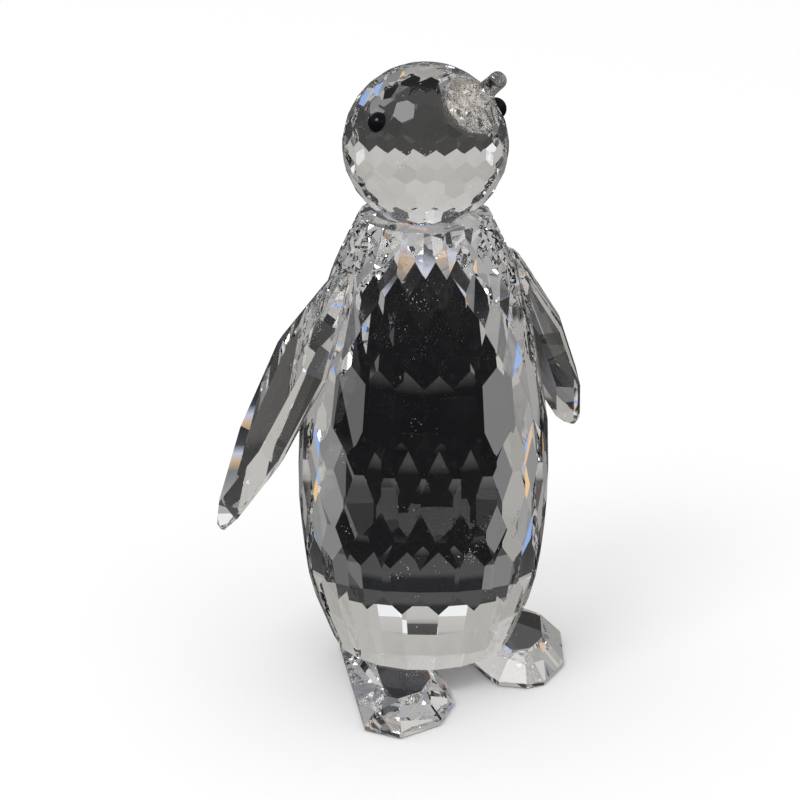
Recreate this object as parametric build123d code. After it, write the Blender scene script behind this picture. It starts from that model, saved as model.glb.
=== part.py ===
from build123d import *
import os
from math import atan2, cos, pi, radians, sin, sqrt

from numpy import arange, array, interp
from numpy.linalg import norm
from scipy.spatial import HalfspaceIntersection

# Standing penguin of clear cut glass, glued together from flat-faceted stones.
# Lengths are in millimetres and angles in degrees.
# The penguin faces -Y, +X is its left side, and it stands on the plane Z = 0.
# A heading of 0 points to the front, and 90 points to the penguin's left.

os.makedirs("parts", exist_ok=True)

# Body: a barrel of plane facets, widest below its middle
body_height = 60.2
body_radius = 16.7
body_facets_around = 20
body_level_shares = [0, 0.106, 0.181, 0.324, 0.365, 0.548, 0.756, 0.83, 0.9, 1]
body_radius_shares = [0.719, 0.868, 0.939, 0.994, 1, 0.978, 0.8443, 0.7754, 0.6856, 0.515]
body_row_turn_shares = [0.5, 0.5, 0, 0.5, 0, 0.5, 0, 0.5, 0]

# Head: a faceted ball with flats for the neck, the beak and the eyes
head_radius = 10.65
head_facets_around = 20
head_row_count = 12
head_row_step_angle = 13
head_top_row_angle = 78
head_crown_start_angle = 60
neck_flat_radius = 5.6

# Beak: a wide foot that runs in a hollow curve to a blunt point, up and a little to the left
beak_base_radius = 4.45
beak_length = 7.3
beak_outline_shares = [(0, 1), (0.07, 0.94), (0.2, 0.68), (0.36, 0.47), (0.6, 0.34), (0.86, 0.24), (1, 0)]
beak_heading = 23
beak_rise_angle = 42

# Eyes: low black domes
eye_radius = 1.38
eye_height = 0.95
eye_heading = 67
eye_rise_angle = 28

# Wings: long flat drops, faceted round both faces
wing_length = 39.3
wing_width = 13.2
wing_thickness = 4.0
wing_girdle = 0.5
wing_bevel_run = 2.4
wing_outline_shares = [(0, 0.16), (0.1, 0.45), (0.34, 1), (0.68, 0.86), (0.93, 0.36), (1, 0.1)]
wing_seat_below_top = 12.35
wing_flat_depth = 0.35
wing_pivot_drop = 1.2
right_wing_heading = 87
left_wing_heading = 100
right_wing_lean_angle = 24
left_wing_lean_angle = 32
right_wing_sweep_angle = 9
left_wing_sweep_angle = 14
right_wing_top_above_pivot = 8.1
left_wing_top_above_pivot = 7.2

# Feet: flat slabs with a table on top and a sloping rim, the right one a step ahead
foot_height = 4.0
foot_length = 30.0
foot_width = 15.0
foot_girdle = 0.6
foot_rim_run = 3.0
right_foot_outline_shares = [
    (0, 0.253), (0.109, 0.522), (0.95, 0.41), (0.95, -0.2), (0.451, -0.366), (0.257, -0.346), (0.087, -0.145),
]
left_foot_outline_shares = [
    (0, -0.125), (0.094, 0.275), (0.343, 0.67), (0.87, 0.447),
    (0.865, -0.12), (0.234, -0.433), (0.121, -0.459), (0.023, -0.292),
]
right_toe_aside = 9.2
right_toe_ahead = 21.0
right_foot_turn_angle = 13
left_toe_aside = 13.3
left_toe_ahead = 13.9
left_foot_turn_angle = 13

# Clear glue films between the stones
film_thickness = 0.15
film_margin = 0.3
wing_film_width = 4.8
wing_film_length = 6.4
wing_film_raise = 1.8
foot_film_width = 2.0
foot_film_length = 7.0
right_foot_film_behind_toe = 18.5
left_foot_film_behind_toe = 14.8

# Corners closer than this are one corner
corner_merge = 0.00001


# Directions and cut planes

def direction(heading, rise=0):
    """Unit vector at a heading from the front, raised above the level."""
    level = cos(radians(rise))
    return Vector(level * sin(radians(heading)), -level * cos(radians(heading)), sin(radians(rise)))


def cut(normal, point):
    """A plane that keeps the glass behind the point, seen along the normal."""
    return (normal, normal.dot(point))


def facet(normal, offset, corners):
    """The flat polygon of the corners that lie on one cut plane, or None."""
    distances = abs(corners @ array(tuple(normal)) - offset)
    on_plane = [Vector(*corner) for corner in corners[distances < corner_merge]]
    if len(on_plane) < 3:
        return None
    middle = sum(on_plane, Vector()) / len(on_plane)
    across = (on_plane[0] - middle).normalized()
    along = normal.cross(across)
    on_plane.sort(key=lambda corner: atan2((corner - middle).dot(along), (corner - middle).dot(across)))
    return Face(Wire.make_polygon(on_plane))


def stone(cuts, inside):
    """The solid that every cut plane leaves standing round an inside point."""
    half_spaces = array([[*normal, -offset] for normal, offset in cuts])
    found = HalfspaceIntersection(half_spaces, array(tuple(inside))).intersections
    gaps = norm(found[:, None] - found[None], axis=2)
    corners = found[(gaps < corner_merge).argmax(axis=1) == arange(len(found))]
    facets = [facet(normal, offset, corners) for normal, offset in cuts]
    return Solid(Shell([polygon for polygon in facets if polygon is not None]))


# Heights and seats that follow from the sizes above

body_bottom = foot_height + film_thickness
body_top = body_bottom + body_height
head_bottom = body_top + film_thickness
head_centre = Vector(0, 0, head_bottom + sqrt(head_radius**2 - neck_flat_radius**2))


def body_radius_at(height):
    """Distance from the axis to the middle of a body facet at one height."""
    share = (height - body_bottom) / body_height
    return body_radius * interp(share, body_level_shares, body_radius_shares)


def wing_seat(side, heading, lift):
    """Plane of the flat ground on the body for one wing, with Y up along the flat."""
    height = body_top - wing_seat_below_top
    low_radius = body_radius_at(height - wing_film_length / 2)
    high_radius = body_radius_at(height + wing_film_length / 2)
    rise = atan2(low_radius - high_radius, wing_film_length) * 180 / pi
    outward = direction(side * heading, rise)
    radius = (low_radius + high_radius) / 2 - wing_flat_depth
    middle = direction(side * heading) * radius + Vector(0, 0, height)
    return Plane(middle + outward * lift, x_dir=Vector(0, 0, 1).cross(outward), z_dir=outward)


# Body

def body_cuts():
    """Rows of facets between the levels, each row turned by its share of a facet."""
    heights = [body_bottom + share * body_height for share in body_level_shares]
    radii = [share * body_radius for share in body_radius_shares]
    cuts = [cut(Vector(0, 0, 1), Vector(0, 0, body_top)), cut(Vector(0, 0, -1), Vector(0, 0, body_bottom))]
    for row, turn_share in enumerate(body_row_turn_shares):
        rise = atan2(radii[row] - radii[row + 1], heights[row + 1] - heights[row]) * 180 / pi
        for count in range(body_facets_around):
            heading = (count + turn_share) * 360 / body_facets_around
            touch = direction(heading) * radii[row] + Vector(0, 0, heights[row])
            cuts.append(cut(direction(heading, rise), touch))
    return cuts


def make_body():
    """The barrel with a ground flat for each wing."""
    seats = [wing_seat(-1, right_wing_heading, 0), wing_seat(1, left_wing_heading, 0)]
    wing_flats = [cut(seat.z_dir, seat.origin) for seat in seats]
    return stone(body_cuts() + wing_flats, Vector(0, 0, body_bottom + body_height / 2))


# Head

def head_flat_height(flat_radius):
    """Distance from the head's centre to a flat of a given radius."""
    return sqrt(head_radius**2 - flat_radius**2)


beak_seat = head_flat_height(beak_base_radius + film_margin)
eye_seat = head_flat_height(eye_radius + film_margin)


def head_cuts():
    """Staggered rows of facets round a ball."""
    cuts = [cut(direction(0, 90), head_centre + direction(0, 90) * head_radius)]
    for row in range(head_row_count):
        rise = head_top_row_angle - row * head_row_step_angle
        around = head_facets_around if abs(rise) < head_crown_start_angle else head_facets_around // 2
        for count in range(around):
            normal = direction((count + row % 2 / 2) * 360 / around, rise)
            cuts.append(cut(normal, head_centre + normal * head_radius))
    return cuts


def make_head():
    """The ball with its flats for the neck, the beak and both eyes."""
    flats = [cut(Vector(0, 0, -1), Vector(0, 0, head_bottom))]
    beak_normal = direction(beak_heading, beak_rise_angle)
    flats.append(cut(beak_normal, head_centre + beak_normal * beak_seat))
    for side in (-1, 1):
        eye_normal = direction(side * eye_heading, eye_rise_angle)
        flats.append(cut(eye_normal, head_centre + eye_normal * eye_seat))
    return stone(head_cuts() + flats, head_centre)


def make_beak():
    """The hollow-sided cone, turned round its axis, standing on its glue film."""
    outward = direction(beak_heading, beak_rise_angle)
    seat = Plane(head_centre + outward * (beak_seat + film_thickness), z_dir=outward)
    side = [(across * beak_base_radius, 0, along * beak_length) for along, across in beak_outline_shares]
    curve = Spline(*side, tangents=[(0, 0, 1), (-1, 0, 0)])
    half_section = Polyline(side[-1], (0, 0, 0), side[0])
    cone = revolve(make_face(curve + half_section), Axis.Z)
    return (seat * cone).solid()


def make_eye(side):
    """A low dome with a flat back, standing on its glue film."""
    outward = direction(side * eye_heading, eye_rise_angle)
    seat = Plane(head_centre + outward * (eye_seat + film_thickness), z_dir=outward)
    dome_radius = (eye_radius**2 + eye_height**2) / (2 * eye_height)
    ball = Pos(0, 0, eye_height - dome_radius) * Sphere(dome_radius)
    return (seat * split(ball, bisect_by=Plane.XY, keep=Keep.TOP)).solid()


# Slabs with a bevelled rim, for wings and feet

def slab_cuts(outline, low, girdle_low, girdle_high, high, run):
    """Upright girdle cuts and sloping rim cuts round an outline in X and Y."""
    cuts = [cut(Vector(0, 0, 1), Vector(0, 0, high)), cut(Vector(0, 0, -1), Vector(0, 0, low))]
    middle = sum(outline, Vector()) / len(outline)
    for start, end in zip(outline, outline[1:] + outline[:1]):
        side = (end - start).cross(Vector(0, 0, 1)).normalized()
        side = side if side.dot(start - middle) > 0 else -side
        cuts.append(cut(side, start))
        rim_high = Vector(side.X * (high - girdle_high), side.Y * (high - girdle_high), run)
        cuts.append(cut(rim_high.normalized(), start + Vector(0, 0, girdle_high)))
        if girdle_low > low:
            rim_low = Vector(side.X * (girdle_low - low), side.Y * (girdle_low - low), -run)
            cuts.append(cut(rim_low.normalized(), start + Vector(0, 0, girdle_low)))
    return cuts


def wing_plane(side, heading, lean, sweep):
    """Inner table of one wing, with X to an edge, Y up along the wing and Z outward."""
    pivot = wing_seat(side, heading, film_thickness).from_local_coords(Vector(0, -wing_pivot_drop, 0))
    outward = direction(side * heading, lean)
    backward = direction(side * (heading + 90))
    upward = backward.cross(outward) * -side
    across = backward * cos(radians(sweep)) + upward * sin(radians(sweep))
    return Plane(pivot, x_dir=across * side, z_dir=outward)


def make_wing(side, heading, lean, sweep, top_above_pivot):
    """One drop, ground off where it meets the glue film on the body."""
    half_width = wing_width / 2
    front = [Vector(-across * half_width, -along * wing_length) for along, across in wing_outline_shares]
    back = [Vector(across * half_width, -along * wing_length) for along, across in wing_outline_shares]
    outline = [point + Vector(0, top_above_pivot) for point in front + back[::-1]]
    girdle_low = (wing_thickness - wing_girdle) / 2
    girdle_high = girdle_low + wing_girdle
    cuts = slab_cuts(outline, 0, girdle_low, girdle_high, wing_thickness, wing_bevel_run)
    drop = wing_plane(side, heading, lean, sweep) * stone(cuts, Vector(0, 0, wing_thickness / 2))
    return split(drop, bisect_by=wing_seat(side, heading, film_thickness), keep=Keep.TOP).solid()


def foot_plane(side, toe_aside, toe_ahead, turn):
    """Ground plane with its origin at the toe and Y towards the heel."""
    toe = Vector(side * toe_aside, -toe_ahead, 0)
    across = Vector(0, 0, 1).cross(direction(side * turn))
    return Plane(toe, x_dir=across, z_dir=(0, 0, 1))


def make_foot(side, outline_shares, toe_aside, toe_ahead, turn):
    """One slab, flat on the ground, with its outer side on the positive shares across."""
    outline = [Vector(side * across * foot_width, along * foot_length) for along, across in outline_shares]
    cuts = slab_cuts(outline, 0, 0, foot_girdle, foot_height, foot_rim_run)
    slab = stone(cuts, Vector(0, foot_length / 2, foot_height / 2))
    return (foot_plane(side, toe_aside, toe_ahead, turn) * slab).solid()


# Glue films

neck_film_diameter = 2 * (neck_flat_radius - film_margin)


def film(seat, length, width):
    """A thin elliptical film that stands on a seat plane."""
    return (seat * extrude(Ellipse(length / 2, width / 2), film_thickness)).solid()


def round_film(heading, rise, seat_distance, stone_radius):
    """A thin round film on a flat of the head, a little smaller than the stone on it."""
    outward = direction(heading, rise)
    diameter = 2 * (stone_radius - film_margin)
    return film(Plane(head_centre + outward * seat_distance, z_dir=outward), diameter, diameter)


def foot_film(side, toe_aside, toe_ahead, turn, behind_toe):
    """The film between a foot's table and the underside of the body."""
    seat = foot_plane(side, toe_aside, toe_ahead, turn) * Pos(0, behind_toe, foot_height)
    return film(seat, foot_film_width, foot_film_length)


def wing_film(side, heading):
    """The film between a wing and the flat on the body."""
    seat = wing_seat(side, heading, 0) * Pos(0, wing_film_raise, 0)
    return film(seat, wing_film_width, wing_film_length)


# Every piece by its node name

pieces = {
    "body": make_body(),
    "head": make_head(),
    "beak": make_beak(),
    "right_eye": make_eye(-1),
    "left_eye": make_eye(1),
    "right_wing": make_wing(
        -1, right_wing_heading, right_wing_lean_angle,
        right_wing_sweep_angle, right_wing_top_above_pivot,
    ),
    "left_wing": make_wing(
        1, left_wing_heading, left_wing_lean_angle,
        left_wing_sweep_angle, left_wing_top_above_pivot,
    ),
    "right_foot": make_foot(
        -1, right_foot_outline_shares, right_toe_aside, right_toe_ahead, right_foot_turn_angle,
    ),
    "left_foot": make_foot(
        1, left_foot_outline_shares, left_toe_aside, left_toe_ahead, left_foot_turn_angle,
    ),
    "neck_bond": film(Plane.XY.offset(body_top), neck_film_diameter, neck_film_diameter),
    "beak_bond": round_film(beak_heading, beak_rise_angle, beak_seat, beak_base_radius),
    "right_eye_bond": round_film(-eye_heading, eye_rise_angle, eye_seat, eye_radius),
    "left_eye_bond": round_film(eye_heading, eye_rise_angle, eye_seat, eye_radius),
    "right_wing_bond": wing_film(-1, right_wing_heading),
    "left_wing_bond": wing_film(1, left_wing_heading),
    "right_foot_bond": foot_film(
        -1, right_toe_aside, right_toe_ahead, right_foot_turn_angle, right_foot_film_behind_toe,
    ),
    "left_foot_bond": foot_film(
        1, left_toe_aside, left_toe_ahead, left_foot_turn_angle, left_foot_film_behind_toe,
    ),
}

# The origin lies on the ground under the middle of the whole figure
whole = Compound(list(pieces.values())).bounding_box()
to_origin = Pos(-whole.center().X, -whole.center().Y, -whole.min.Z)
for name, piece in pieces.items():
    export_step(to_origin * piece, f"parts/{name}.step")
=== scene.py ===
import math
import random

import bmesh
import bpy
import numpy as np
from mathutils import Matrix, Vector, noise


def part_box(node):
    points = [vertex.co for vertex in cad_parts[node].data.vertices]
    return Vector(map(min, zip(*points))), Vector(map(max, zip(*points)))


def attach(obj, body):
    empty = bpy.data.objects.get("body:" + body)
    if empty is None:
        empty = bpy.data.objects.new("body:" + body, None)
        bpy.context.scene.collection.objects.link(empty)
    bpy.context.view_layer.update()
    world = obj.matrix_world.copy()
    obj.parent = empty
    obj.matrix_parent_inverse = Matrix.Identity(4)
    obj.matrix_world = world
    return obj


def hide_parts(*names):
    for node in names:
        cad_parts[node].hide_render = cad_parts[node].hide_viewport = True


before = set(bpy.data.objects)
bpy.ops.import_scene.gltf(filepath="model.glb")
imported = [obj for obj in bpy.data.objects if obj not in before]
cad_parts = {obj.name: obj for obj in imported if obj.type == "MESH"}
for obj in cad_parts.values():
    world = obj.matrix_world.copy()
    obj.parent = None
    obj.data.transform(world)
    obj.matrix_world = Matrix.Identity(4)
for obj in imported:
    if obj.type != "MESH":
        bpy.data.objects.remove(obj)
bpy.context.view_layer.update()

# Camera: it looks down on the standing figure from its right front, through a long lens.
# The figure stands a little right of the middle of the picture and the camera leans by a hair.
body_low, body_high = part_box("body")
body_axis = (body_low + body_high) / 2
look_at = Vector((body_axis.x, body_axis.y, 0.039))
front_heading = -26
behind_heading = front_heading + 180
camera_heading = math.radians(front_heading)
camera_rise = math.radians(21)
camera_distance = 0.4
camera_roll = math.radians(0.4)
toward_camera = Vector((
    math.sin(camera_heading) * math.cos(camera_rise),
    -math.cos(camera_heading) * math.cos(camera_rise),
    math.sin(camera_rise),
))
camera_data = bpy.data.cameras.new("photo_camera")
camera_data.sensor_width = 36
camera_data.lens = 135
camera_data.shift_x = -0.02975
camera_data.shift_y = -0.0069
camera_data.clip_start = 0.01
camera_data.clip_end = 20
camera = bpy.data.objects.new("photo_camera", camera_data)
level_right = Vector((0, 0, 1)).cross(toward_camera).normalized()
level_up = toward_camera.cross(level_right)
right = level_right * math.cos(camera_roll) + level_up * math.sin(camera_roll)
up = toward_camera.cross(right)
spot = look_at + toward_camera * camera_distance
camera.matrix_world = Matrix((
    (right.x, up.x, toward_camera.x, spot.x),
    (right.y, up.y, toward_camera.y, spot.y),
    (right.z, up.z, toward_camera.z, spot.z),
    (0, 0, 0, 1),
))
bpy.context.scene.collection.objects.link(camera)
bpy.context.scene.camera = camera

# Studio: a plain pale table top, an even white room and one soft lamp high on the left.
# Glass looks right only when light can pass through many facets, so paths may be long.
scene = bpy.context.scene
scene.view_settings.view_transform = "Standard"
scene.cycles.max_bounces = 32
scene.cycles.transmission_bounces = 32
scene.cycles.glossy_bounces = 24
scene.cycles.diffuse_bounces = 4
scene.cycles.caustics_refractive = True
scene.cycles.caustics_reflective = True

world = bpy.data.worlds.new("white_room")
scene.world = world
world.use_nodes = True
room = world.node_tree
room.nodes.clear()
room_seen = room.nodes.new("ShaderNodeLightPath")
room_glass = room.nodes.new("ShaderNodeMath")
room_glass.operation = "MAXIMUM"
room_any = room.nodes.new("ShaderNodeMath")
room_any.operation = "MAXIMUM"
room_mix = room.nodes.new("ShaderNodeMixShader")
room_lit = room.nodes.new("ShaderNodeBackground")
room_lit.inputs["Strength"].default_value = 0.93
room_shown = room.nodes.new("ShaderNodeBackground")
room_shown.inputs["Strength"].default_value = 1.0
for light in (room_lit, room_shown):
    light.inputs["Color"].default_value = (1, 1, 1, 1)
room_out = room.nodes.new("ShaderNodeOutputWorld")
room.links.new(room_seen.outputs["Is Glossy Ray"], room_glass.inputs[0])
room.links.new(room_seen.outputs["Is Transmission Ray"], room_glass.inputs[1])
room.links.new(room_glass.outputs[0], room_any.inputs[0])
room.links.new(room_seen.outputs["Is Camera Ray"], room_any.inputs[1])
room.links.new(room_any.outputs[0], room_mix.inputs["Fac"])
room.links.new(room_lit.outputs[0], room_mix.inputs[1])
room.links.new(room_shown.outputs[0], room_mix.inputs[2])
room.links.new(room_mix.outputs[0], room_out.inputs["Surface"])

lamp_data = bpy.data.lights.new("key_softbox", "AREA")
lamp_data.shape = "SQUARE"
lamp_data.size = 0.5
lamp_data.energy = 3.4
lamp = bpy.data.objects.new("key_softbox", lamp_data)
lamp.location = (-0.75, -0.35, 1.0)
lamp.rotation_mode = "QUATERNION"
lamp.rotation_quaternion = (look_at - Vector(lamp.location)).to_track_quat("-Z", "Y")
scene.collection.objects.link(lamp)

table_half = 3.0
table_level = -0.0002
table_mesh = bpy.data.meshes.new("table_top")
table_mesh.from_pydata(
    [(-table_half, -table_half, table_level), (table_half, -table_half, table_level),
     (table_half, table_half, table_level), (-table_half, table_half, table_level)],
    [], [(0, 1, 2, 3)])
table_top = bpy.data.objects.new("table_top", table_mesh)
scene.collection.objects.link(table_top)
paper = bpy.data.materials.new("pale_table_paper")
paper.use_nodes = True
paper_face = paper.node_tree.nodes["Principled BSDF"]
paper_face.inputs["Base Color"].default_value = (0.97, 0.97, 0.97, 1)
paper_face.inputs["Roughness"].default_value = 0.9
paper_face.inputs["Specular IOR Level"].default_value = 0.0
table_mesh.materials.append(paper)

# Studio cards: glowing black, grey, pale and coloured cards round the figure, which paint the dark and
# bright facets and the fire of the clear glass as painted refractions and painted reflections.
# Only the glass sees them: the camera does not, and they neither light anything nor throw a shadow.
# Each card lies a hair above the one below it, so that no two share a level.


def card(name, points, faces, material, mirrored=False):
    """A glowing card that only glass sees: a painted refraction through it, or else a painted reflection in
    it.
    """
    mesh = bpy.data.meshes.new(name)
    mesh.from_pydata(points, [], faces)
    mesh.materials.append(material)
    piece = bpy.data.objects.new(name, mesh)
    scene.collection.objects.link(piece)
    piece.visible_camera = False
    piece.visible_diffuse = False
    piece.visible_shadow = False
    piece.visible_glossy = mirrored
    piece.visible_transmission = not mirrored


def ring_card(name, inner, outer, level, heading, half_angle, material, mirrored=False):
    """A flat ring, or a part of one, round the body's axis on one level."""
    steps = 96
    rim = []
    for i in range(steps + 1):
        turn = math.radians(heading - half_angle + 2 * half_angle * i / steps)
        for reach in (inner, outer):
            rim.append((body_axis.x + reach * math.sin(turn), body_axis.y - reach * math.cos(turn), level))
    quads = [(2 * i, 2 * i + 1, 2 * i + 3, 2 * i + 2) for i in range(steps)]
    card(name, rim, quads, material, mirrored)


def glow(name, colour=(1, 1, 1)):
    """An emission of one colour, with its nodes for a caller that feeds it a pattern instead."""
    material = bpy.data.materials.new(name)
    material.use_nodes = True
    material.cycles.emission_sampling = "NONE"
    tree = material.node_tree
    tree.nodes.clear()
    light = tree.nodes.new("ShaderNodeEmission")
    light.inputs["Color"].default_value = (*colour, 1)
    out = tree.nodes.new("ShaderNodeOutputMaterial")
    tree.links.new(light.outputs[0], out.inputs["Surface"])
    return material, tree, light


def ramp(tree, stops):
    """A colour ramp with these (place, colour) stops."""
    tone = tree.nodes.new("ShaderNodeValToRGB")
    marks = tone.color_ramp.elements
    marks.remove(marks[1])
    marks[0].position = stops[0][0]
    marks[0].color = (*stops[0][1], 1)
    for place, colour in stops[1:]:
        marks.new(place).color = (*colour, 1)
    return tone


def ringed_paint(name, reach_end, level, rings):
    """A glow in rings round the body's axis, each ring a pair of its reach and its colour."""
    material, tree, light = glow(name)
    place = tree.nodes.new("ShaderNodeTexCoord")
    reach = tree.nodes.new("ShaderNodeVectorMath")
    reach.operation = "DISTANCE"
    reach.inputs[1].default_value = (body_axis.x, body_axis.y, level)
    share = tree.nodes.new("ShaderNodeMath")
    share.operation = "DIVIDE"
    share.inputs[1].default_value = reach_end
    tone = ramp(tree, [(ring / reach_end, colour) for ring, colour in rings])
    tree.links.new(place.outputs["Object"], reach.inputs[0])
    tree.links.new(reach.outputs["Value"], share.inputs[0])
    tree.links.new(share.outputs[0], tone.inputs["Fac"])
    tree.links.new(tone.outputs["Color"], light.inputs["Color"])
    return material


# A glowing mat behind the figure, seen only through the glass: painted pale light at its foot, orange,
# cream and blue rings of painted fire round that, painted black where the body shows it, grey farther out
painted_refraction_rings = (
    (0.000, (0.46, 0.45, 0.43)), (0.036, (0.44, 0.42, 0.39)), (0.040, (0.30, 0.31, 0.32)),
    (0.045, (0.20, 0.21, 0.22)), (0.0475, (0.95, 0.60, 0.28)), (0.0485, (0.90, 0.80, 0.65)),
    (0.050, (0.30, 0.48, 0.95)), (0.052, (0.05, 0.05, 0.053)), (0.060, (0.007, 0.007, 0.008)),
    (0.080, (0.007, 0.007, 0.008)), (0.084, (0.068, 0.066, 0.064)), (0.120, (0.062, 0.060, 0.058)),
    (0.150, (0.046, 0.045, 0.043)), (0.205, (0.046, 0.045, 0.043)),
    (0.212, (0.060, 0.058, 0.056)), (0.335, (0.070, 0.067, 0.064)), (0.350, (0.36, 0.35, 0.34)),
    (0.400, (0.54, 0.52, 0.50)), (0.700, (0.60, 0.58, 0.55)),
)
mat_radius = 0.7
mat_level = -0.0001
ring_card("painted_refraction_mat", 0.0, mat_radius, mat_level, 0, 180,
          ringed_paint("painted_refraction_mat_rings", mat_radius, mat_level, painted_refraction_rings))

# A painted reflection of the floor, which only the facets mirror: almost black close by, a little lighter
# far away
wall_radius = 1.5
painted_reflection_rings = ((0.0, (0.01, 0.01, 0.01)), (0.2, (0.015, 0.015, 0.015)), (1.5, (0.04, 0.04, 0.04)))
ring_card("painted_floor_reflection", 0.0, wall_radius, mat_level, 0, 180,
          ringed_paint("painted_floor_reflection_rings", wall_radius, mat_level, painted_reflection_rings), mirrored=True)

# Glowing sheets seen only through the glass, pale ones at both sides of the figure's foot and a dark one
# close to its front: painted light and painted shade, each with orange and blue rings of painted fire
sheet_painted_light_and_fire = (
    (0.0000, (0.45, 0.45, 0.46)), (0.0100, (0.45, 0.45, 0.46)), (0.0107, (0.95, 0.60, 0.30)),
    (0.0114, (0.35, 0.50, 0.90)), (0.0120, (0.36, 0.37, 0.38)), (0.0180, (0.40, 0.40, 0.40)),
    (0.0188, (0.95, 0.65, 0.35)), (0.0196, (0.40, 0.55, 0.95)), (0.0204, (0.42, 0.41, 0.40)),
    (0.0280, (0.42, 0.41, 0.40)), (0.0300, (0.04, 0.04, 0.04)), (0.0600, (0.03, 0.03, 0.03)),
)
front_painted_shade_and_fire = (
    (0.0000, (0.45, 0.45, 0.46)), (0.0110, (0.40, 0.40, 0.41)), (0.0118, (0.95, 0.60, 0.30)),
    (0.0126, (0.35, 0.50, 0.90)), (0.0134, (0.03, 0.03, 0.03)), (0.0600, (0.02, 0.02, 0.02)),
)
sheet_reach = 0.06
sheet_level = -0.00008
painted_light_sheet_paint = ringed_paint("painted_light_and_fire_rings", sheet_reach, sheet_level, sheet_painted_light_and_fire)
painted_shade_front_paint = ringed_paint("painted_shade_and_fire_rings", sheet_reach, sheet_level, front_painted_shade_and_fire)
ring_card("left_painted_light_sheet", 0.0, sheet_reach, sheet_level, behind_heading + 105, 45, painted_light_sheet_paint)
ring_card("right_painted_light_sheet", 0.0, sheet_reach, sheet_level, behind_heading - 105, 45, painted_light_sheet_paint)
ring_card("front_painted_shade_sheet", 0.0, sheet_reach, sheet_level, front_heading, 30, painted_shade_front_paint)

# Fans of narrow glowing wedges behind the figure's sides, pale, dark and coloured, which its side facets
# break up: painted light, painted shade and, in the orange and blue wedges, painted fire.
# Each wedge is a pair of angles, counted from straight behind the figure, and its colour.
painted_fan_wedges = (
    (-29, -23, (0.22, 0.22, 0.22)), (-36, -29, (0.42, 0.41, 0.39)), (-37.5, -36, (1.0, 0.66, 0.34)),
    (-39, -37.5, (0.35, 0.55, 1.0)), (-47, -39, (0.34, 0.34, 0.34)), (-55, -47, (0.50, 0.49, 0.47)),
    (-56.5, -55, (1.0, 0.66, 0.34)), (-58, -56.5, (0.35, 0.55, 1.0)), (-66, -58, (0.78, 0.76, 0.73)),
    (-76, -66, (0.52, 0.51, 0.49)), (-90, -76, (0.40, 0.40, 0.40)),
    (25, 30, (0.14, 0.14, 0.14)), (30, 36, (0.26, 0.26, 0.26)), (36, 37.5, (1.0, 0.66, 0.34)),
    (37.5, 39, (0.35, 0.55, 1.0)), (39, 46, (0.32, 0.32, 0.31)), (46, 54, (0.50, 0.49, 0.47)),
    (54, 55.5, (0.35, 0.55, 1.0)), (55.5, 64, (0.62, 0.61, 0.58)), (64, 74, (0.48, 0.47, 0.46)),
    (74, 90, (0.40, 0.40, 0.40)),
)
fan_inner = 0.036
fan_outer = 0.11
fan_level = -0.00006
for low_angle, high_angle, colour in painted_fan_wedges:
    ring_card("painted_light_and_fire_wedge", fan_inner, fan_outer, fan_level, behind_heading - (low_angle + high_angle) / 2,
              (high_angle - low_angle) / 2, glow("painted_light_and_fire_wedge", colour)[0])

# A painted shadow under the table facet of each foot: a dark glowing spot on the floor that only the glass
# sees
foot_shadow_paint = glow("painted_foot_shadow", (0.02, 0.02, 0.021))[0]
spot_radius = 0.0066
spot_level = -0.00005
spot_steps = 32
for name, across, ahead in (("right_painted_foot_shadow", -0.0094, 0.0106), ("left_painted_foot_shadow", 0.0122, 0.0016)):
    card(name, [
        (body_axis.x + across + spot_radius * math.cos(2 * math.pi * i / spot_steps),
         body_axis.y - ahead + spot_radius * math.sin(2 * math.pi * i / spot_steps), spot_level)
        for i in range(spot_steps)], [tuple(range(spot_steps))], foot_shadow_paint)

# The room's round wall, glowing cards seen only in the glass: painted shade near the floor, brighter higher
# up, with soft broad painted patches of light
wall_height = 1.3


def wall_card(name, heading, half_angle, tones, patches, mirrored=False):
    """A part of the round wall, with painted shade by height and by slow patches."""
    material, tree, light = glow(name)
    place = tree.nodes.new("ShaderNodeTexCoord")
    split = tree.nodes.new("ShaderNodeSeparateXYZ")
    share = tree.nodes.new("ShaderNodeMath")
    share.operation = "DIVIDE"
    share.inputs[1].default_value = wall_height
    tone = ramp(tree, tones)
    cloud = tree.nodes.new("ShaderNodeTexNoise")
    cloud.inputs["Scale"].default_value = 1.4
    cloud.inputs["Detail"].default_value = 1.0
    cloud_tone = ramp(tree, patches)
    shaded = tree.nodes.new("ShaderNodeMix")
    shaded.data_type = "RGBA"
    shaded.blend_type = "MULTIPLY"
    shaded.inputs["Factor"].default_value = 1.0
    tree.links.new(place.outputs["Object"], split.inputs[0])
    tree.links.new(split.outputs["Z"], share.inputs[0])
    tree.links.new(share.outputs[0], tone.inputs["Fac"])
    tree.links.new(place.outputs["Object"], cloud.inputs["Vector"])
    tree.links.new(cloud.outputs["Fac"], cloud_tone.inputs["Fac"])
    tree.links.new(tone.outputs["Color"], shaded.inputs["A"])
    tree.links.new(cloud_tone.outputs["Color"], shaded.inputs["B"])
    tree.links.new(shaded.outputs["Result"], light.inputs["Color"])
    steps = 64
    points = []
    for i in range(steps + 1):
        turn = math.radians(heading - half_angle + 2 * half_angle * i / steps)
        for level in (0.0, wall_height):
            points.append((wall_radius * math.sin(turn), -wall_radius * math.cos(turn), level))
    card(name, points, [(2 * i, 2 * i + 1, 2 * i + 3, 2 * i + 2) for i in range(steps)], material, mirrored)


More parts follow.
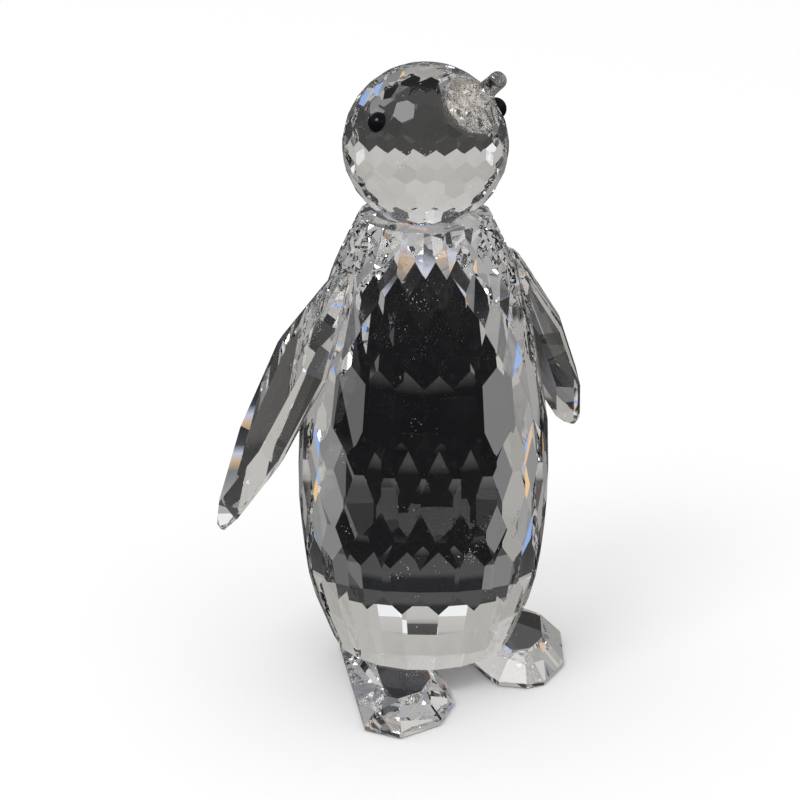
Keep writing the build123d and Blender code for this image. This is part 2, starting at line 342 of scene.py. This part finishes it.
# A painted reflection of the wall, dark low down and lighter higher up, which only the glass mirrors
wall_card("painted_wall_reflection", 0, 180, (
    (0.0, (0.03, 0.03, 0.032)), (0.2, (0.05, 0.05, 0.053)), (0.42, (0.11, 0.11, 0.115)),
    (0.67, (0.20, 0.20, 0.205)), (1.0, (0.34, 0.34, 0.34))),
    ((0.35, (0.35, 0.35, 0.35)), (0.6, (1, 1, 1))), mirrored=True)
wall_card("painted_wall_behind", behind_heading, 115, (
    (0.0, (0.54, 0.53, 0.51)), (0.1, (0.58, 0.565, 0.54)), (0.5, (0.64, 0.63, 0.61)),
    (1.0, (0.78, 0.78, 0.79))),
    ((0.35, (0.84, 0.83, 0.81)), (0.6, (1, 0.99, 0.96))))
wall_card("painted_wall_before", front_heading, 65, (
    (0.0, (0.08, 0.08, 0.08)), (0.4, (0.10, 0.10, 0.10)), (0.6, (0.32, 0.33, 0.35)),
    (1.0, (0.36, 0.37, 0.39))),
    ((0.35, (0.85, 0.87, 0.9)), (0.6, (1, 1, 1))))

# Glowing grey cards high over the figure, one of them dark, which paint shade into its lowest facets and
# the tables of its feet; the mirrored one is a painted reflection of the ceiling in the glass
ring_card("painted_dim_ceiling_card", 0.0, wall_radius, wall_height, 0, 180,
          glow("painted_dim_ceiling_card", (0.46, 0.46, 0.47))[0])
ring_card("painted_shade_ceiling_card", 0.2, wall_radius, wall_height - 0.001, behind_heading, 35,
          glow("painted_shade_ceiling_card", (0.06, 0.06, 0.06))[0])
ring_card("painted_ceiling_reflection", 0.0, wall_radius, wall_height, 0, 180,
          glow("painted_ceiling_reflection", (0.12, 0.12, 0.12))[0], mirrored=True)

# Body: one tall barrel of clear lead glass, ground flat facet by facet in staggered rows and polished.
# A few fine dust specks lie on the facets, as they do on a figure that stands on a shelf.
crystal = bpy.data.materials.new("cut_crystal")
crystal.use_nodes = True
crystal_tree = crystal.node_tree
crystal_face = crystal_tree.nodes["Principled BSDF"]
crystal_face.inputs["Base Color"].default_value = (0.985, 0.99, 1.0, 1)
crystal_face.inputs["IOR"].default_value = 1.6
dust_place = crystal_tree.nodes.new("ShaderNodeTexCoord")
dust_grain = crystal_tree.nodes.new("ShaderNodeTexNoise")
dust_grain.inputs["Scale"].default_value = 4200
dust_grain.inputs["Detail"].default_value = 0.0
dust_patch = crystal_tree.nodes.new("ShaderNodeTexNoise")
dust_patch.inputs["Scale"].default_value = 180
dust_both = crystal_tree.nodes.new("ShaderNodeMath")
dust_both.operation = "MULTIPLY"
dust_clear = ramp(crystal_tree, ((0.50, (1, 1, 1)), (0.53, (0.7, 0.7, 0.7))))
dust_rough = ramp(crystal_tree, ((0.50, (0, 0, 0)), (0.53, (0.4, 0.4, 0.4))))
crystal_tree.links.new(dust_place.outputs["Object"], dust_grain.inputs["Vector"])
crystal_tree.links.new(dust_place.outputs["Object"], dust_patch.inputs["Vector"])
crystal_tree.links.new(dust_grain.outputs["Fac"], dust_both.inputs[0])
crystal_tree.links.new(dust_patch.outputs["Fac"], dust_both.inputs[1])
crystal_tree.links.new(dust_both.outputs[0], dust_clear.inputs["Fac"])
crystal_tree.links.new(dust_both.outputs[0], dust_rough.inputs["Fac"])
crystal_tree.links.new(dust_clear.outputs["Color"], crystal_face.inputs["Transmission Weight"])
crystal_tree.links.new(dust_rough.outputs["Color"], crystal_face.inputs["Roughness"])


def polish_stone(name, glass):
    """Give one cut stone its glass."""
    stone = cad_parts[name]
    stone.data.materials.clear()
    stone.data.materials.append(glass)


polish_stone("body", crystal)

# Head: one ball of the same clear glass, cut all over in small hexagons.
# Flats are ground into it for the neck, the beak and both eyes, and it is glued on the body.
polish_stone("head", crystal)

# Wings: two flat drops of the same clear glass with long facets.
# Each is glued by its inner face to a shoulder of the body and spreads away from it.
polish_stone("right_wing", crystal)
polish_stone("left_wing", crystal)

# Feet: two low slabs of the same clear glass, each with a flat table and a sloping cut rim.
# The body is glued on their heels, and their toes stand out in front of it.
polish_stone("right_foot", crystal)
polish_stone("left_foot", crystal)

# Beak: one small glass stone, clear at its wide foot and smoke grey along its thin shaft.
# The foot was pressed hot on its flat, so it is crumpled into coarse facets, and the shaft is smooth.
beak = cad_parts["beak"]
beak_low, beak_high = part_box("beak_bond")
beak_foot = (beak_low + beak_high) / 2
smoke = bpy.data.materials.new("smoke_crystal")
smoke.use_nodes = True
smoke_tree = smoke.node_tree
smoke_face = smoke_tree.nodes["Principled BSDF"]
smoke_face.inputs["Transmission Weight"].default_value = 1.0
smoke_face.inputs["Roughness"].default_value = 0.0
smoke_face.inputs["IOR"].default_value = 1.6
smoke_place = smoke_tree.nodes.new("ShaderNodeTexCoord")
smoke_reach = smoke_tree.nodes.new("ShaderNodeVectorMath")
smoke_reach.operation = "DISTANCE"
smoke_reach.inputs[1].default_value = beak_foot
smoke_share = smoke_tree.nodes.new("ShaderNodeMath")
smoke_share.operation = "DIVIDE"
smoke_share.inputs[1].default_value = 0.0075
smoke_tint = ramp(smoke_tree, (
    (0.0, (1.0, 0.98, 0.94)), (0.50, (0.98, 0.95, 0.90)), (0.62, (0.42, 0.41, 0.40)),
    (1.0, (0.24, 0.24, 0.245))))
crease = smoke_tree.nodes.new("ShaderNodeTexNoise")
crease.inputs["Scale"].default_value = 1100
crease.inputs["Detail"].default_value = 1.0
crease_bump = smoke_tree.nodes.new("ShaderNodeBump")
crease_bump.inputs["Distance"].default_value = 0.00012
smoke_tree.links.new(smoke_place.outputs["Object"], smoke_reach.inputs[0])
smoke_tree.links.new(smoke_reach.outputs["Value"], smoke_share.inputs[0])
smoke_tree.links.new(smoke_share.outputs[0], smoke_tint.inputs["Fac"])
smoke_tree.links.new(smoke_place.outputs["Object"], crease.inputs["Vector"])
smoke_tree.links.new(crease.outputs["Fac"], crease_bump.inputs["Height"])
smoke_tree.links.new(smoke_tint.outputs["Color"], smoke_face.inputs["Base Color"])
smoke_tree.links.new(crease_bump.outputs["Normal"], smoke_face.inputs["Normal"])

beak_points = np.array([beak.matrix_world @ corner.co for corner in beak.data.vertices])
beak_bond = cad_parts["beak_bond"]
bond_points = np.array([beak_bond.matrix_world @ corner.co for corner in beak_bond.data.vertices])
beak_axes = np.linalg.svd(bond_points - bond_points.mean(axis=0), full_matrices=False)[2]
if ((beak_points - beak_foot) @ beak_axes[2]).mean() < 0:
    beak_axes[2] = -beak_axes[2]
beak_heights = (beak_points - beak_foot) @ beak_axes[2]
beak_start, beak_length = beak_heights.min(), np.ptp(beak_heights)
beak_across, beak_along, beak_out = (Vector(axis) for axis in beak_axes)
beak_radius = 0.00445
beak_spokes = 22
# Rings from the middle of the seat, over the rim of the foot, to the point.
# Each is a share of the length and a share of the radius.
crumpled_ring_shares = (
    (0.030, 0.28), (0.020, 0.55), (0.026, 0.78), (0.006, 0.95), (0.050, 0.97), (0.115, 0.86),
    (0.180, 0.68), (0.250, 0.52), (0.330, 0.40))
smooth_ring_shares = (
    (0.42, 0.325), (0.50, 0.295), (0.58, 0.275), (0.66, 0.265), (0.76, 0.262), (0.86, 0.262),
    (0.92, 0.250), (0.96, 0.215), (0.985, 0.15))
seat_middle_share = 0.02
point_share = 0.995
crumple_height = 0.035
crumple_width = 0.14
crumple_turn = 0.07
crumple = random.Random(8)
beak_skin = bmesh.new()
rings = []
for place, (share, reach) in enumerate(crumpled_ring_shares + smooth_ring_shares):
    row = []
    for spoke in range(beak_spokes):
        turn = 2 * math.pi * (spoke + 0.5 * (place % 2)) / beak_spokes
        height, width = share, reach
        if place < len(crumpled_ring_shares):
            height += crumple.uniform(0.0, crumple_height)
            width *= 1 - crumple.uniform(0.0, crumple_width)
            turn += crumple.uniform(-crumple_turn, crumple_turn)
        spot = beak_foot + beak_out * (beak_start + beak_length * height)
        spot += (beak_across * math.cos(turn) + beak_along * math.sin(turn)) * (beak_radius * width)
        row.append(beak_skin.verts.new(spot))
    rings.append(row)
for place, (near, far) in enumerate(zip(rings, rings[1:])):
    for spoke in range(beak_spokes):
        after = (spoke + 1) % beak_spokes
        if place % 2:
            corners = ((near[spoke], near[after], far[after]), (near[spoke], far[after], far[spoke]))
        else:
            corners = ((near[spoke], near[after], far[spoke]), (near[after], far[after], far[spoke]))
        for corner in corners:
            beak_skin.faces.new(corner).smooth = place >= len(crumpled_ring_shares)
seat_middle = beak_skin.verts.new(beak_foot + beak_out * (beak_start + beak_length * seat_middle_share))
point = beak_skin.verts.new(beak_foot + beak_out * (beak_start + beak_length * point_share))
for spoke in range(beak_spokes):
    after = (spoke + 1) % beak_spokes
    beak_skin.faces.new((seat_middle, rings[0][spoke], rings[0][after]))
    beak_skin.faces.new((point, rings[-1][after], rings[-1][spoke])).smooth = True
bmesh.ops.recalc_face_normals(beak_skin, faces=beak_skin.faces)
beak_mesh = bpy.data.meshes.new("crinkled_beak")
beak_skin.to_mesh(beak_mesh)
beak_skin.free()
beak_mesh.materials.append(smoke)
crinkled_beak = bpy.data.objects.new("crinkled_beak", beak_mesh)
scene.collection.objects.link(crinkled_beak)
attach(crinkled_beak, "root")
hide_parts("beak")

# Eyes: low domes of black glass, fire polished, with the faintest unevenness in their gloss.
# Each is glued on a small flat of the head, a little above its middle.
black = bpy.data.materials.new("black_glass")
black.use_nodes = True
black_tree = black.node_tree
black_face = black_tree.nodes["Principled BSDF"]
black_face.inputs["Base Color"].default_value = (0.004, 0.004, 0.005, 1)
polish_place = black_tree.nodes.new("ShaderNodeTexCoord")
polish_grain = black_tree.nodes.new("ShaderNodeTexNoise")
polish_grain.inputs["Scale"].default_value = 900
polish = ramp(black_tree, ((0.3, (0.02, 0.02, 0.02)), (0.7, (0.07, 0.07, 0.07))))
black_tree.links.new(polish_place.outputs["Object"], polish_grain.inputs["Vector"])
black_tree.links.new(polish_grain.outputs["Fac"], polish.inputs["Fac"])
black_tree.links.new(polish.outputs["Color"], black_face.inputs["Roughness"])
polish_stone("right_eye", black)
polish_stone("left_eye", black)

# Glue films: a skin of clear cured glue between every stone and the one it stands on.
# It was pressed out by hand, so each face is uneven, with small folds that catch the light.
glue = bpy.data.materials.new("clear_glue")
glue.use_nodes = True
glue_tree = glue.node_tree
glue_face = glue_tree.nodes["Principled BSDF"]
glue_face.inputs["Base Color"].default_value = (0.97, 0.96, 0.94, 1)
glue_face.inputs["Transmission Weight"].default_value = 1.0
glue_face.inputs["IOR"].default_value = 1.48
bubble_place = glue_tree.nodes.new("ShaderNodeTexCoord")
bubble = glue_tree.nodes.new("ShaderNodeTexVoronoi")
bubble.inputs["Scale"].default_value = 2200
bubble_tone = ramp(glue_tree, ((0.12, (0.3, 0.3, 0.3)), (0.2, (0.01, 0.01, 0.01))))
glue_tree.links.new(bubble_place.outputs["Object"], bubble.inputs["Vector"])
glue_tree.links.new(bubble.outputs["Distance"], bubble_tone.inputs["Fac"])
glue_tree.links.new(bubble_tone.outputs["Color"], glue_face.inputs["Roughness"])

film_rim_share = 0.985
film_hub_share = 0.02
film_flush_share = 0.9
ring_per_fold_share = 0.12
spokes_per_ring = 6


def glue_film(name, fold_size, fold_share):
    """A film that fills a CAD film's ellipse, with folds of this size in both its faces."""
    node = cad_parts[name]
    points = np.array([node.matrix_world @ corner.co for corner in node.data.vertices])
    middle = (points.min(axis=0) + points.max(axis=0)) / 2
    axes = np.linalg.svd(points - points.mean(axis=0), full_matrices=False)[2]
    half_long, half_cross, half_thick = abs((points - middle) @ axes.T).max(axis=0)
    long_axis, cross_axis, through = (Vector(axis) for axis in axes)
    middle = Vector(middle)
    ring_count = max(4, round(half_long / (fold_size * ring_per_fold_share)))
    spoke_count = spokes_per_ring * ring_count
    skin = bmesh.new()
    faces = []
    for side in (1, -1):
        rings = []
        for ring in range(ring_count + 1):
            reach = film_rim_share * max(ring, film_hub_share) / ring_count
            row = []
            for spoke in range(spoke_count):
                turn = 2 * math.pi * spoke / spoke_count
                flat = (middle + long_axis * (reach * half_long * math.cos(turn))
                        + cross_axis * (reach * half_cross * math.sin(turn)))
                fold = noise.noise(flat / fold_size + Vector((7 * side, 3, 5)))
                height = half_thick * (film_flush_share - fold_share * (0.5 + fold))
                row.append(skin.verts.new(flat + through * (side * height)))
            rings.append(row)
        faces.append(rings)
        for inner, outer in zip(rings, rings[1:]):
            for spoke in range(spoke_count):
                after = (spoke + 1) % spoke_count
                skin.faces.new((inner[spoke], inner[after], outer[after], outer[spoke]))
        skin.faces.new(rings[0])
    front_rim, back_rim = faces[0][-1], faces[1][-1]
    for spoke in range(spoke_count):
        after = (spoke + 1) % spoke_count
        skin.faces.new((front_rim[spoke], front_rim[after], back_rim[after], back_rim[spoke]))
    bmesh.ops.recalc_face_normals(skin, faces=skin.faces)
    mesh = bpy.data.meshes.new(name + "_film")
    skin.to_mesh(mesh)
    skin.free()
    mesh.materials.append(glue)
    film = bpy.data.objects.new(name + "_film", mesh)
    scene.collection.objects.link(film)
    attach(film, "root")
    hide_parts(name)


for name, fold_size, fold_share in (
    ("neck_bond", 0.0016, 0.5), ("beak_bond", 0.0007, 0.85), ("right_wing_bond", 0.0008, 0.8),
    ("left_wing_bond", 0.0008, 0.8), ("right_foot_bond", 0.0030, 0.1), ("left_foot_bond", 0.0030, 0.1),
    ("right_eye_bond", 0.0008, 0.3), ("left_eye_bond", 0.0008, 0.3),
):
    glue_film(name, fold_size, fold_share)
